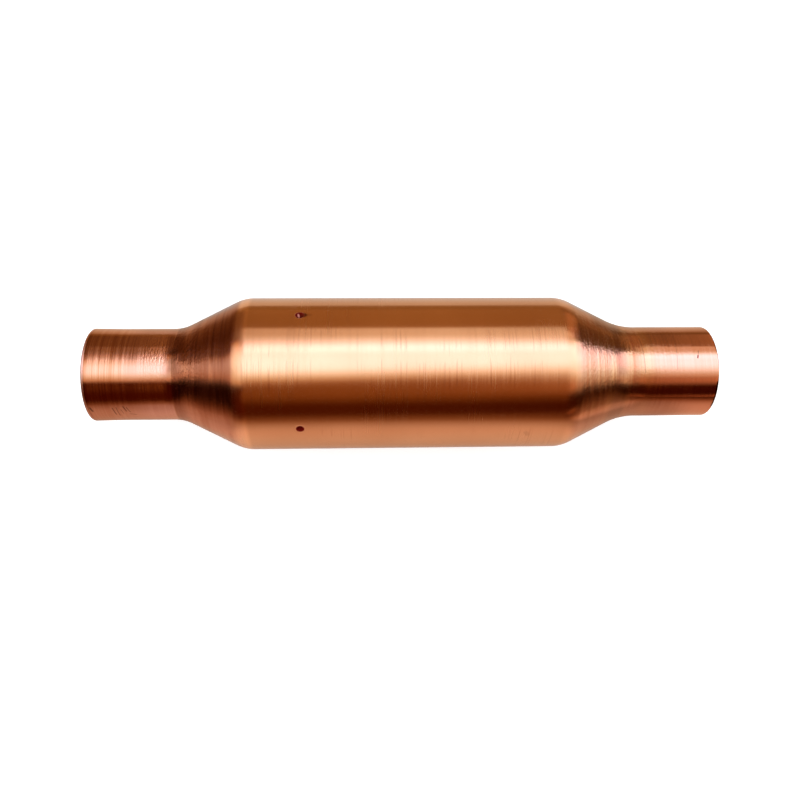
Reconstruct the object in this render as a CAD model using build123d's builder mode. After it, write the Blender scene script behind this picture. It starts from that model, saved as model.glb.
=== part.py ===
# Magnetic non-return valve for a 12.7 mm copper refrigeration line.
#
# One piece of copper tube is spun down at both ends to short necks, and each neck is bored
# as a solder socket. A valve cartridge sits in the tube and is held by four punched stakes.
#
# Frame: millimetres. X is the flow axis, from inlet (-X) to outlet (+X). Z is up. The origin
# is on the flow axis, at the middle of the shell's length.

import os

from build123d import *

os.makedirs("parts", exist_ok=True)

# ---------------------------------------------------------------- driving dimensions
LENGTH = 101.2            # over both necks
BODY_R = 12.5             # 25 mm tube
BODY_WALL = 1.1
NECK_R = 7.5              # 15 mm outside the sockets
SHOULDER_X = 26.0         # where the tube starts to be drawn in
NECK_X = 36.1             # where the shoulder meets the neck
SHOULDER_ROUND = 6.5      # outside radius at the tube end of each shoulder
INLET_NECK_ROUND = 7.0    # outside radius at the neck, a tighter roll on the inlet side
OUTLET_NECK_ROUND = 12.0
SOCKET_R = 6.40           # 12.80 mm socket for a 12.70 mm tube
SOCKET_DEPTH = 10.0
SOCKET_LEAD = 0.25        # deburred mouth
THROAT_R = 5.9            # behind the socket's stop; spinning has thickened the wall here
FLARE_R = 7.59            # the inlet rim is sized slightly proud of its neck
FLARE_X = 5.0

STAKE_X = -16.5           # ring of stakes
STAKE_COUNT = 4
STAKE_START = 63.5        # degrees, from +Y towards +Z
STAKE_PIT_R = 0.54        # at the surface
STAKE_PIT_TIP_R = 0.16
STAKE_PIT_DEPTH = 0.75
STAKE_BUMP_R = 0.95       # where the wall is pushed in
STAKE_BUMP_H = 0.50

BORE_R = BODY_R - BODY_WALL          # 11.4

SEAT_R = BORE_R - 0.05               # slides into the tube before it is staked
SEAT_BACK_X = -21.0
PORT_R = 5.75
PORT_MOUTH_ROUND = 2.2
RING_GROOVE_X = (-20.1, -17.9)
RING_GROOVE_R = 10.2
STAKE_GROOVE_HALF = 0.675            # at the seat's surface, so the pushed-in wall just bears on it
STAKE_GROOVE_FLOOR_HALF = 0.18
STAKE_GROOVE_R = 10.62
MAGNET_X = (-15.0, -12.0)
MAGNET_IN_R = 7.05
MAGNET_OUT_R = 10.15
LEDGE_X = -12.0                      # the cage's foot sits here
LIP_X = -11.53                       # crest of the seat lip, 0.03 mm short of the gasket
LIP_OUT_R = 6.75
RIM_IN_R = 10.78
RIM_END_X = -10.55
RIM_TIP_R = 10.04

CAGE_SHEET = 0.6
CAGE_FOOT_R = 10.7
CAGE_IN_R = 9.4
CAGE_PLATE_X = (-3.0, -2.4)
CAGE_LEG_WIDTH = 3.4
CAGE_LEGS = 4
CAGE_HUB_R = 4.4
CAGE_WINDOW_X = -10.3
BUSH_HOLE_R = 2.4

BUSH_BORE_R = 1.54
BUSH_STOP_X = -4.95                  # the stem's nut stops here when the valve is open

STEM_R = 1.5
STEM_HEAD_R = 4.2
STEM_HEAD_X = (-12.15, -11.5)
STEM_NOSE_X = -14.3
STEM_END_X = -0.1

GASKET_X = (-11.5, -10.7)
GASKET_R = 7.3
DISC_X = (-11.3, -9.7)
DISC_R = 8.9
DISC_POCKET_R = 7.36
NUT_X = -9.7
NUT_SHEET = 0.35
NUT_R = 3.2

HALF = LENGTH / 2


def corner(sketch, x, y):
    """The sketch's vertex nearest to (x, y)."""
    return sketch.vertices().sort_by_distance((x, y, 0))[0]


# ---------------------------------------------------------------- shell
# The true section: tube, both shoulders, both necks, the sockets with their stops.
SOCKET_END = HALF - SOCKET_DEPTH
INNER_NECK_X = 36.4
INNER_SHOULDER_X = 25.5

with BuildPart() as body_shell:
    with BuildSketch(Plane.XY) as shell_section:
        with BuildLine():
            Polyline(
                (-HALF, SOCKET_R),
                (-HALF, FLARE_R),
                (-HALF + FLARE_X, NECK_R),
                (-NECK_X, NECK_R),
                (-SHOULDER_X, BODY_R),
                (SHOULDER_X, BODY_R),
                (NECK_X, NECK_R),
                (HALF, NECK_R),
                (HALF, SOCKET_R),
                (SOCKET_END, SOCKET_R),
                (SOCKET_END, THROAT_R),
                (INNER_NECK_X, THROAT_R),
                (INNER_SHOULDER_X, BORE_R),
                (-INNER_SHOULDER_X, BORE_R),
                (-INNER_NECK_X, THROAT_R),
                (-SOCKET_END, THROAT_R),
                (-SOCKET_END, SOCKET_R),
                close=True,
            )
        make_face()
        fillet(
            [corner(shell_section, -SHOULDER_X, BODY_R), corner(shell_section, SHOULDER_X, BODY_R)],
            radius=SHOULDER_ROUND,
        )
        fillet(corner(shell_section, -NECK_X, NECK_R), radius=INLET_NECK_ROUND)
        fillet(corner(shell_section, NECK_X, NECK_R), radius=OUTLET_NECK_ROUND)
        fillet(
            [corner(shell_section, -INNER_SHOULDER_X, BORE_R), corner(shell_section, INNER_SHOULDER_X, BORE_R)],
            radius=5.0,
        )
        fillet(
            [corner(shell_section, -INNER_NECK_X, THROAT_R), corner(shell_section, INNER_NECK_X, THROAT_R)],
            radius=6.0,
        )
        # deburred rims, inside and out
        chamfer(
            [corner(shell_section, -HALF, SOCKET_R), corner(shell_section, HALF, SOCKET_R)],
            length=SOCKET_LEAD,
        )
        fillet(
            [corner(shell_section, -HALF, FLARE_R), corner(shell_section, HALF, NECK_R)],
            radius=0.3,
        )
    revolve(axis=Axis.X)

    # Four stakes: a punch mark outside and the wall pushed into the seat's groove inside.
    stake_plane = Plane(origin=(STAKE_X, 0, 0), x_dir=(0, 1, 0), z_dir=(1, 0, 0))
    with Locations(stake_plane):
        with PolarLocations(BORE_R + 0.4 - (STAKE_BUMP_H + 0.4) / 2, STAKE_COUNT, start_angle=STAKE_START):
            Cone(
                bottom_radius=0.34,
                top_radius=STAKE_BUMP_R,
                height=STAKE_BUMP_H + 0.4,
                rotation=(0, 90, 0),
            )
    with Locations(stake_plane):
        with PolarLocations(BODY_R + 0.2 - (STAKE_PIT_DEPTH + 0.2) / 2, STAKE_COUNT, start_angle=STAKE_START):
            Cone(
                bottom_radius=STAKE_PIT_TIP_R,
                top_radius=STAKE_PIT_R + 0.08,
                height=STAKE_PIT_DEPTH + 0.2,
                rotation=(0, 90, 0),
                mode=Mode.SUBTRACT,
            )
body_shell.part.label = "body_shell"


# ---------------------------------------------------------------- seat
# Turned brass: port, seat lip, pocket for the magnet, ledge and rolled rim for the cage,
# a ring groove and the groove that takes the stakes.
with BuildPart() as valve_seat:
    with BuildSketch(Plane.XY) as seat_section:
        with BuildLine():
            Polyline(
                (SEAT_BACK_X, PORT_R),
                (SEAT_BACK_X, SEAT_R),
                (RING_GROOVE_X[0], SEAT_R),
                (RING_GROOVE_X[0], RING_GROOVE_R),
                (RING_GROOVE_X[1], RING_GROOVE_R),
                (RING_GROOVE_X[1], SEAT_R),
                (STAKE_X - STAKE_GROOVE_HALF, SEAT_R),
                (STAKE_X - STAKE_GROOVE_FLOOR_HALF, STAKE_GROOVE_R),
                (STAKE_X + STAKE_GROOVE_FLOOR_HALF, STAKE_GROOVE_R),
                (STAKE_X + STAKE_GROOVE_HALF, SEAT_R),
                (RIM_END_X - 0.55, SEAT_R),
                # the rim, rolled inwards over the cage's foot
                (RIM_END_X, SEAT_R - 0.75),
                (RIM_END_X, RIM_TIP_R),
                (RIM_END_X - 0.45, RIM_TIP_R),
                (LEDGE_X + CAGE_SHEET + 0.01, RIM_IN_R - 0.25),
                (LEDGE_X + CAGE_SHEET + 0.01, RIM_IN_R),
                (LEDGE_X, RIM_IN_R),
                (LEDGE_X, MAGNET_OUT_R + 0.05),
                (MAGNET_X[0], MAGNET_OUT_R + 0.05),
                (MAGNET_X[0], MAGNET_IN_R - 0.05),
                (LEDGE_X - 0.35, MAGNET_IN_R - 0.05),
                (LIP_X, LIP_OUT_R - 0.35),
                (LIP_X, PORT_R + 0.25),
                (LIP_X - 0.25, PORT_R),
                close=True,
            )
        make_face()
        fillet(corner(seat_section, SEAT_BACK_X, PORT_R), radius=PORT_MOUTH_ROUND)
        chamfer(corner(seat_section, SEAT_BACK_X, SEAT_R), length=0.3)
        fillet(corner(seat_section, LIP_X, LIP_OUT_R - 0.35), radius=0.15)
        fillet(
            [
                corner(seat_section, RIM_END_X - 0.55, SEAT_R),
                corner(seat_section, RIM_END_X, SEAT_R - 0.75),
            ],
            radius=0.3,
        )
    revolve(axis=Axis.X)
valve_seat.part.label = "valve_seat"


# ---------------------------------------------------------------- ring seal
# A ring of 1.5 mm cord, squeezed between the groove and the bore.
with BuildPart() as seat_o_ring:
    with BuildSketch(Plane.XY.offset(0)) as ring_section:
        with Locations((-19.0, (RING_GROOVE_R + BORE_R) / 2)):
            RectangleRounded(1.78, BORE_R - RING_GROOVE_R - 0.02, radius=0.56)
    revolve(axis=Axis.X)
seat_o_ring.part.label = "seat_o_ring"


# ---------------------------------------------------------------- magnet
with BuildPart() as ring_magnet:
    with BuildSketch(Plane.XY) as magnet_section:
        with Locations(((MAGNET_X[0] + MAGNET_X[1]) / 2, (MAGNET_IN_R + MAGNET_OUT_R) / 2)):
            Rectangle(MAGNET_X[1] - MAGNET_X[0], MAGNET_OUT_R - MAGNET_IN_R)
        chamfer(magnet_section.vertices(), length=0.2)
    revolve(axis=Axis.X)
ring_magnet.part.label = "ring_magnet"


# ---------------------------------------------------------------- cage
# Drawn from one disc of stainless sheet: foot, four legs, and a spider with a hub.
with BuildPart() as guide_cage:
    with BuildSketch(Plane.XY) as cage_section:
        with BuildLine():
            Polyline(
                (LEDGE_X, CAGE_IN_R),
                (LEDGE_X, CAGE_FOOT_R),
                (LEDGE_X + CAGE_SHEET, CAGE_FOOT_R),
                (LEDGE_X + CAGE_SHEET, CAGE_IN_R + CAGE_SHEET),
                (CAGE_PLATE_X[1], CAGE_IN_R + CAGE_SHEET),
                (CAGE_PLATE_X[1], BUSH_HOLE_R),
                (CAGE_PLATE_X[0], BUSH_HOLE_R),
                (CAGE_PLATE_X[0], CAGE_IN_R),
                close=True,
            )
        make_face()
        fillet(corner(cage_section, LEDGE_X, CAGE_IN_R), radius=0.5)
        fillet(corner(cage_section, LEDGE_X + CAGE_SHEET, CAGE_IN_R + CAGE_SHEET), radius=0.2)
        fillet(corner(cage_section, CAGE_PLATE_X[1], CAGE_IN_R + CAGE_SHEET), radius=1.5)
        fillet(corner(cage_section, CAGE_PLATE_X[0], CAGE_IN_R), radius=0.9)
    revolve(axis=Axis.X)
    # windows between the legs, cut in one stroke along the axis
    window_plane = Plane(origin=(CAGE_WINDOW_X, 0, 0), x_dir=(0, 1, 0), z_dir=(1, 0, 0))
    with BuildSketch(window_plane) as windows:
        Circle(CAGE_IN_R + 3)
        with PolarLocations(0, CAGE_LEGS // 2, angular_range=180):
            Rectangle(4 * CAGE_IN_R, CAGE_LEG_WIDTH, mode=Mode.SUBTRACT)
        Circle(CAGE_HUB_R, mode=Mode.SUBTRACT)
        fillet(
            windows.vertices().filter_by(lambda v: abs((v.Y**2 + v.Z**2) ** 0.5 - CAGE_HUB_R) < 0.02),
            radius=0.6,
        )
    extrude(amount=CAGE_PLATE_X[1] - CAGE_WINDOW_X + 1, mode=Mode.SUBTRACT)
    # the windows' corners at the foot of each leg
    fillet(
        guide_cage.edges()
        .filter_by(GeomType.LINE)
        .filter_by(lambda e: abs(e.center().X - CAGE_WINDOW_X) < 0.01 and e.length < 1.0),
        radius=0.6,
    )
guide_cage.part.label = "guide_cage"


# ---------------------------------------------------------------- bush
# A shouldered bush, snapped through the cage's hub. Its shoulder is also the open stop.
with BuildPart() as stem_bush:
    with BuildSketch(Plane.XY) as bush_section:
        with BuildLine():
            Polyline(
                (BUSH_STOP_X, BUSH_BORE_R),
                (BUSH_STOP_X, 2.9),
                (-3.9, 2.9),
                (-3.9, 3.5),
                (CAGE_PLATE_X[0], 3.5),
                (CAGE_PLATE_X[0], BUSH_HOLE_R - 0.02),
                (CAGE_PLATE_X[1] + 0.02, BUSH_HOLE_R - 0.02),
                (CAGE_PLATE_X[1] + 0.22, BUSH_HOLE_R + 0.2),
                (-1.2, BUSH_HOLE_R - 0.25),
                (-1.2, BUSH_BORE_R),
                close=True,
            )
        make_face()
        chamfer(corner(bush_section, BUSH_STOP_X, BUSH_BORE_R), length=0.2)
        chamfer(corner(bush_section, BUSH_STOP_X, 2.9), length=0.15)
        chamfer(corner(bush_section, -1.2, BUSH_BORE_R), length=0.2)
    revolve(axis=Axis.X)
stem_bush.part.label = "stem_bush"


# ---------------------------------------------------------------- moving disc
with BuildPart() as armature_disc:
    with BuildSketch(Plane.XY) as disc_section:
        with BuildLine():
            Polyline(
                (GASKET_X[1], STEM_R + 0.02),
                (GASKET_X[1], DISC_POCKET_R),
                (DISC_X[0], DISC_POCKET_R),
                (DISC_X[0], DISC_R),
                (DISC_X[1], DISC_R),
                (DISC_X[1], STEM_R + 0.02),
                close=True,
            )
        make_face()
        fillet(
            [corner(disc_section, DISC_X[0], DISC_R), corner(disc_section, DISC_X[1], DISC_R)],
            radius=0.3,
        )
    revolve(axis=Axis.X)
armature_disc.part.label = "armature_disc"


with BuildPart() as disc_gasket:
    with BuildSketch(Plane.XY) as gasket_section:
        with Locations(((GASKET_X[0] + GASKET_X[1]) / 2, (STEM_R + 0.05 + GASKET_R) / 2)):
            Rectangle(GASKET_X[1] - GASKET_X[0], GASKET_R - STEM_R - 0.05)
        fillet(corner(gasket_section, GASKET_X[0], GASKET_R), radius=0.15)
    revolve(axis=Axis.X)
disc_gasket.part.label = "disc_gasket"


# The stem: a domed head that faces the inlet, and a plain shank that slides in the bush.
with BuildPart() as guide_stem:
    with BuildSketch(Plane.XY) as stem_section:
        with BuildLine():
            nose = ThreePointArc(
                (STEM_NOSE_X, 0),
                (STEM_NOSE_X + 0.62, 2.3),
                (STEM_HEAD_X[0], STEM_HEAD_R),
            )
            Polyline(
                (STEM_HEAD_X[0], STEM_HEAD_R),
                (STEM_HEAD_X[1], STEM_HEAD_R),
                (STEM_HEAD_X[1], STEM_R),
                (STEM_END_X - 0.4, STEM_R),
                (STEM_END_X, STEM_R - 0.4),
                (STEM_END_X, 0),
                (STEM_NOSE_X, 0),
            )
        make_face()
    revolve(axis=Axis.X)
guide_stem.part.label = "guide_stem"


# The push nut: a dished washer with six spring teeth that bite on the shank.
with BuildPart() as stem_push_nut:
    with BuildSketch(Plane.XY) as nut_section:
        with BuildLine():
            Polyline(
                (NUT_X, NUT_R),
                (NUT_X, 2.35),
                (NUT_X + 0.34, STEM_R + 0.01),
                (NUT_X + 0.34 + NUT_SHEET, STEM_R + 0.01),
                (NUT_X + NUT_SHEET, 2.45),
                (NUT_X + NUT_SHEET, NUT_R),
                close=True,
            )
        make_face()
        fillet(corner(nut_section, NUT_X + NUT_SHEET, NUT_R), radius=0.12)
    revolve(axis=Axis.X)
    slot_plane = Plane(origin=(NUT_X - 0.2, 0, 0), x_dir=(0, 1, 0), z_dir=(1, 0, 0))
    with BuildSketch(slot_plane):
        with PolarLocations(1.75, 6):
            SlotOverall(1.5, 0.36)
    extrude(amount=1.4, mode=Mode.SUBTRACT)
stem_push_nut.part.label = "stem_push_nut"


# ---------------------------------------------------------------- write the pieces
for piece in (
    body_shell,
    valve_seat,
    seat_o_ring,
    ring_magnet,
    guide_cage,
    stem_bush,
    armature_disc,
    disc_gasket,
    guide_stem,
    stem_push_nut,
):
    export_step(piece.part, f"parts/{piece.part.label}.step")
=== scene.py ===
import math
import random

import bmesh
import bpy
from mathutils import Matrix, Vector


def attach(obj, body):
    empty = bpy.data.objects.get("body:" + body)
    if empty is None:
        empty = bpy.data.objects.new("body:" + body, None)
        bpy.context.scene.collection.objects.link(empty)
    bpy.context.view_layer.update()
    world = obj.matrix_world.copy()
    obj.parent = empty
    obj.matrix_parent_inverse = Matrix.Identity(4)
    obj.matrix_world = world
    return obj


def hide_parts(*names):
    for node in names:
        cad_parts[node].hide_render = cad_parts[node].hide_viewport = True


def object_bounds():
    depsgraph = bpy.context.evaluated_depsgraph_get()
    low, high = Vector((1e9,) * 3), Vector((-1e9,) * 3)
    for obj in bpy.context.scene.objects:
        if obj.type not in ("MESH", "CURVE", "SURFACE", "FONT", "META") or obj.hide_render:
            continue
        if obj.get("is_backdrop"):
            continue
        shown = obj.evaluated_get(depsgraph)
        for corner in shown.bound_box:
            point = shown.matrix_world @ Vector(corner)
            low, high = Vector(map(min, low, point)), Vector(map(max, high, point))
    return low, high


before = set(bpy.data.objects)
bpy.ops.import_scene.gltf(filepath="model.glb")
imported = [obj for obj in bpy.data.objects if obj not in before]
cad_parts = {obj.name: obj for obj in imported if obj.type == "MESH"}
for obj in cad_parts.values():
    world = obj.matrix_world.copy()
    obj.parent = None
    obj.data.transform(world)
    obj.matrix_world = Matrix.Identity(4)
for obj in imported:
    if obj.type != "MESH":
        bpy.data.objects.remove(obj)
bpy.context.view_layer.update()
scene = bpy.context.scene
MM = 0.001

# The shell's own sizes, in millimetres, as the CAD has them.
HALF = 50.6
BODY_R = 12.5
BORE_R = 11.4
NECK_R = 7.5
SHOULDER_X = 26.0
NECK_X = 36.1
SOCKET_R = 6.4
SOCKET_END = 40.6
THROAT_R = 5.9
FLARE_R = 7.59
STAKE_X = -16.5
STAKES = [math.radians(63.5 + 90 * k) for k in range(4)]
FLOOR_Z = -12.5

# ------------------------------------------------------------------ camera
# The view of the photograph: from above and in front, 131 mm off, the inlet end a little nearer.
elevation, yaw, roll = math.radians(70.0), math.radians(2.513), math.radians(-0.350)
toward = Vector((0, -math.cos(elevation), math.sin(elevation)))
up = Vector((0, math.sin(elevation), math.cos(elevation)))
across = Vector((1, 0, 0))
place = across * (-math.sin(yaw) * 130.88 - 0.604) + toward * (math.cos(yaw) * 130.88)
right = across * math.cos(yaw) + toward * math.sin(yaw)
back = toward * math.cos(yaw) - across * math.sin(yaw)
right_r = right * math.cos(roll) + up * math.sin(roll)
up_r = up * math.cos(roll) - right * math.sin(roll)
cam_data = bpy.data.cameras.new("camera")
cam = bpy.data.objects.new("camera", cam_data)
scene.collection.objects.link(cam)
turn = Matrix((right_r, up_r, back)).transposed()
cam.matrix_world = Matrix.Translation(place * MM) @ turn.to_4x4()
cam_data.sensor_width = 36.0
cam_data.lens = 35.17
cam_data.shift_x = 0.0004
cam_data.shift_y = -0.0340
cam_data.clip_start = 0.005
cam_data.clip_end = 20.0
scene.camera = cam

scene.view_settings.view_transform = "Standard"
scene.view_settings.look = "None"
scene.view_settings.exposure = 0.0
scene.view_settings.gamma = 1.0


# ------------------------------------------------------------------ node helpers
class Tree:
    def __init__(self, tree):
        self.t = tree
        self.t.nodes.clear()

    def node(self, kind, **props):
        n = self.t.nodes.new(kind)
        for k, v in props.items():
            setattr(n, k, v)
        return n

    def put(self, socket, value):
        if hasattr(value, "is_output"):
            self.t.links.new(value, socket)
        else:
            socket.default_value = value

    def math(self, op, a, b=0.0, c=0.0, clamp=False):
        n = self.node("ShaderNodeMath", operation=op, use_clamp=clamp)
        for s, v in zip(n.inputs, (a, b, c)):
            self.put(s, v)
        return n.outputs[0]

    def step(self, value, lo, hi, a=0.0, b=1.0):
        """Smooth step of value from lo (gives a) to hi (gives b)."""
        n = self.node("ShaderNodeMapRange", interpolation_type="SMOOTHSTEP")
        for name, v in (("Value", value), ("From Min", lo), ("From Max", hi), ("To Min", a), ("To Max", b)):
            self.put(n.inputs[name], v)
        return n.outputs["Result"]

    def mix(self, fac, a, b, blend="MIX"):
        n = self.node("ShaderNodeMix", data_type="RGBA", blend_type=blend, clamp_factor=True)
        self.put(n.inputs["Factor"], fac)
        self.put(n.inputs["A"], a)
        self.put(n.inputs["B"], b)
        return n.outputs["Result"]

    def mixf(self, fac, a, b):
        n = self.node("ShaderNodeMix", data_type="FLOAT", clamp_factor=True)
        self.put(n.inputs["Factor"], fac)
        self.put(n.inputs["A"], a)
        self.put(n.inputs["B"], b)
        return n.outputs["Result"]

    def xyz(self, v):
        n = self.node("ShaderNodeSeparateXYZ")
        self.put(n.inputs[0], v)
        return n.outputs

    def vec(self, x, y, z):
        n = self.node("ShaderNodeCombineXYZ")
        for s, v in zip(n.inputs, (x, y, z)):
            self.put(s, v)
        return n.outputs[0]

    def noise(self, v, scale=1.0, detail=2.0, rough=0.5, distortion=0.0):
        n = self.node("ShaderNodeTexNoise", noise_dimensions="3D")
        self.put(n.inputs["Vector"], v)
        self.put(n.inputs["Scale"], scale)
        self.put(n.inputs["Detail"], detail)
        self.put(n.inputs["Roughness"], rough)
        self.put(n.inputs["Distortion"], distortion)
        return n.outputs["Fac"]

    def ramp(self, fac, stops, mode="LINEAR"):
        n = self.node("ShaderNodeValToRGB")
        n.color_ramp.interpolation = mode
        el = n.color_ramp.elements
        while len(el) < len(stops):
            el.new(0.5)
        for e, (p, c) in zip(el, stops):
            e.position = p
        for e, (p, c) in zip(el, stops):
            e.color = (*c, 1.0)
        self.put(n.inputs[0], fac)
        return n.outputs[0]


def rgba(r, g, b):
    return (r, g, b, 1.0)


# ------------------------------------------------------------------ studio
# A dim warm room and one wide soft panel overhead. The panel's near edge is a little on the camera's
# side of the valve, its far edge well behind it, and it runs on towards the outlet side.
world = bpy.data.worlds.new("studio")
scene.world = world
world.use_nodes = True
world.cycles.sampling_method = "NONE"
w = Tree(world.node_tree)
direction = w.node("ShaderNodeTexCoord").outputs["Generated"]
dx, dy, dz = w.xyz(direction)
across_ = w.math("ADD", w.math("DEGREES", w.math("ARCTAN2", dy, dz)), 20.0)   # 0 towards the camera's side, + to the far side
along = w.math("DEGREES", w.math("ARCSINE", dx))                              # + to the outlet side

# how far a direction lies from the valve's middle: at the stubs' angles, and further, at the cones'
left = w.step(along, -11.8, -14.2)
far_left = w.step(along, -27.0, -46.0)
right = w.step(along, 13.5, 18.0)
to_near = w.step(across_, 12.0, -10.0)
far_right = w.step(along, w.math("MULTIPLY_ADD", to_near, 12.0, 27.0), w.math("MULTIPLY_ADD", to_near, 5.0, 46.0))


def by_side(middle, at_left, at_far_left, at_right, at_far_right, mixer, past_right=None):
    m = mixer(left, middle, at_left)
    m = mixer(far_left, m, at_far_left)
    m = mixer(right, m, at_right)
    return mixer(past_right or far_right, m, at_far_right)


def glow_(peak, near0, near1, far0, far1, rest=0.0, cut=None, slope=1.0, near=None, far=None):
    """The panel's brightness over the angle: it rises from near0 to near1, and falls from far0 to far1 to rest."""
    g = w.math("MULTIPLY", w.step(near or across_, near0, near1, 0.0, peak), w.step(far or across_, far1, far0, rest, 1.0))
    if slope != 1.0:
        g = w.math("MULTIPLY", g, w.step(across_, 27.0, 36.5, slope, 1.0))
    if cut:
        g = w.math("MULTIPLY", g, w.step(across_, cut + 1.8, cut - 1.8))
    return g


# its near edge is not quite in line with the valve
skewed = w.math("MULTIPLY_ADD", w.math("MINIMUM", w.math("MAXIMUM", along, -3.0), 13.0), -0.60, w.math("ADD", across_, 0.6))

plateau = w.math("MULTIPLY", w.step(w.math("ABSOLUTE", along), 3.0, 10.0, 0.35, 0.45), w.step(along, -13.0, -9.0, 0.72, 1.0))
# and its far edge reaches a little further over the inlet end
deeper = w.math("SUBTRACT", across_, w.step(along, -4.5, -8.5, 0.0, 2.6))

level = by_side(
    glow_(1.0, -16.0, 11.0, 38.5, 60.5, rest=plateau, cut=70.8, slope=0.895, near=skewed, far=deeper),
    glow_(0.72, -28.0, 8.0, 14.0, 46.5),
    w.math("MULTIPLY", glow_(0.465, -39.0, 20.0, 24.0, 50.0), w.step(along, -88.0, -58.0, 0.35, 1.0)),
    glow_(0.92, -27.0, 20.0, 38.0, 54.0, rest=0.28, cut=66.0, slope=0.95),
    w.math("MULTIPLY", glow_(0.98, -60.0, 33.0, 60.0, 69.0, cut=62.0, far=w.math("ADD", across_, w.step(along, 53.0, 45.0, 0.0, 8.0))), w.step(along, 88.0, 58.0, 0.45, 1.0)),
    w.mixf,
)
# a second, smaller panel that only the inlet's shoulder mirrors
shoulder_ = w.math("MULTIPLY", w.step(along, -20.5, -24.5), w.step(along, -43.0, -34.0))
level = w.mixf(shoulder_, level, w.math("MAXIMUM", level, glow_(0.78, -12.0, 14.0, 40.0, 58.0)))
warmth = w.ramp(level, [(0.0, (0.095, 0.070, 0.042)), (0.27, (0.160, 0.140, 0.112)), (0.41, (0.185, 0.212, 0.212)),
                        (0.58, (0.235, 0.305, 0.360)), (0.84, (0.325, 0.450, 0.650)), (0.92, (0.410, 0.505, 0.795)),
                        (1.0, (0.480, 0.595, 0.975))])
# its near edge is warmer, and it is a little whiter over the inlet end
edge = w.math("MULTIPLY", w.step(skewed, 4.0, -12.0), w.math("MULTIPLY", w.step(along, -11.8, -9.0), w.step(along, 18.0, 13.5)))
warmth = w.mix(edge, warmth, rgba(1.0, 0.88, 0.68), "MULTIPLY")
whiter = w.math("MULTIPLY", w.math("MULTIPLY", w.step(along, -14.2, -12.0), w.step(along, -3.0, -9.0)), w.step(across_, 47.0, 38.0))
warmth = w.mix(whiter, warmth, rgba(1.06, 1.25, 1.30), "MULTIPLY")
whitest = w.math("MULTIPLY", w.math("MULTIPLY", w.step(across_, 27.0, 34.0), w.step(across_, 49.0, 42.0)),
                 w.math("MULTIPLY", w.step(along, -14.2, -12.0), w.step(along, -4.5, -8.0)))
warmth = w.mix(whitest, warmth, rgba(1.0, 1.20, 1.12), "MULTIPLY")
warmth = w.mix(shoulder_, warmth, rgba(1.0, 0.92, 0.82), "MULTIPLY")
amber_ = w.math("MULTIPLY", w.step(along, 30.0, 36.0), w.step(along, 47.0, 42.0))
warmth = w.mix(amber_, warmth, rgba(1.0, 0.98, 0.88), "MULTIPLY")
rosy = w.math("MULTIPLY", w.step(across_, 28.0, 46.0), w.math("MULTIPLY", w.step(along, -7.0, -11.0), w.step(along, -40.0, -27.0)))
warmth = w.mix(rosy, warmth, rgba(0.92, 0.56, 0.30), "MULTIPLY")
scaled = w.node("ShaderNodeVectorMath", operation="SCALE")
w.put(scaled.inputs[0], warmth)
scaled.inputs["Scale"].default_value = 6.0

toward_near = w.step(across_, 40.0, -10.0)
low_mid = w.mix(w.step(along, 3.0, 9.0), rgba(0.095, 0.021, 0.0), rgba(0.060, 0.008, 0.0))
dip = w.math("MULTIPLY", w.step(across_, 106.0, 92.0), w.step(across_, 62.0, 74.0))
outlet_end = w.step(along, 21.6, 25.0)
room = by_side(
    w.mix(w.step(across_, -62.0, -70.0), w.mix(w.step(across_, -29.0, -52.0), w.mix(toward_near, rgba(0.43, 0.268, 0.104), w.mix(w.step(along, 3.5, 8.5), rgba(0.335, 0.150, 0.039), rgba(0.300, 0.112, 0.020))),
                                               low_mid), rgba(0.20, 0.085, 0.03)),
    w.mix(toward_near, rgba(0.165, 0.086, 0.036), rgba(0.058, 0.006, 0.0)),
    w.mix(toward_near, w.mix(dip, rgba(0.19, 0.10, 0.034), rgba(0.125, 0.055, 0.016)), rgba(0.020, 0.004, 0.0)),
    w.mix(w.step(across_, -60.0, -69.0),
          w.mix(w.step(across_, -22.0, -41.0), w.mix(toward_near, w.mix(outlet_end, rgba(0.225, 0.145, 0.068), rgba(0.50, 0.285, 0.135)),
                                                     w.mix(outlet_end, rgba(0.46, 0.25, 0.14), rgba(0.74, 0.40, 0.21))),
                rgba(0.045, 0.006, 0.0)), w.mix(outlet_end, rgba(0.10, 0.035, 0.012), rgba(0.42, 0.17, 0.07))),
    w.mix(toward_near, rgba(0.125, 0.065, 0.024), rgba(0.035, 0.008, 0.0)),
    w.mix, past_right=w.step(along, 36.0, 46.0),
)
sky_colour = w.mix(w.step(level, 0.0, 0.25), room, scaled.outputs[0])
sky = w.node("ShaderNodeBackground")
w.put(sky.inputs["Color"], sky_colour)
# what lights the table, and what is seen behind it, is even and neutral
dome = w.node("ShaderNodeBackground")
dome.inputs["Color"].default_value = rgba(1.3, 1.3, 1.3)
plain = w.node("ShaderNodeBackground")
plain.inputs["Color"].default_value = rgba(0.97, 0.97, 0.97)
seen = w.node("ShaderNodeLightPath")
lit = w.node("ShaderNodeMixShader")
w.put(lit.inputs[0], seen.outputs["Is Diffuse Ray"])
w.put(lit.inputs[1], sky.outputs[0])
w.put(lit.inputs[2], dome.outputs[0])
which = w.node("ShaderNodeMixShader")
w.put(which.inputs[0], seen.outputs["Is Camera Ray"])
w.put(which.inputs[1], lit.outputs[0])
w.put(which.inputs[2], plain.outputs[0])
out = w.node("ShaderNodeOutputWorld")
w.put(out.inputs["Surface"], which.outputs[0])


def new_object(name, verts, faces, smooth_angle=None):
    me = bpy.data.meshes.new(name)
    me.from_pydata(verts, [], faces)
    me.validate()
    me.update()
    ob = bpy.data.objects.new(name, me)
    scene.collection.objects.link(ob)
    if smooth_angle is not None:
        me.shade_smooth()
        me.set_sharp_from_angle(angle=math.radians(smooth_angle))
    return ob


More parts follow.
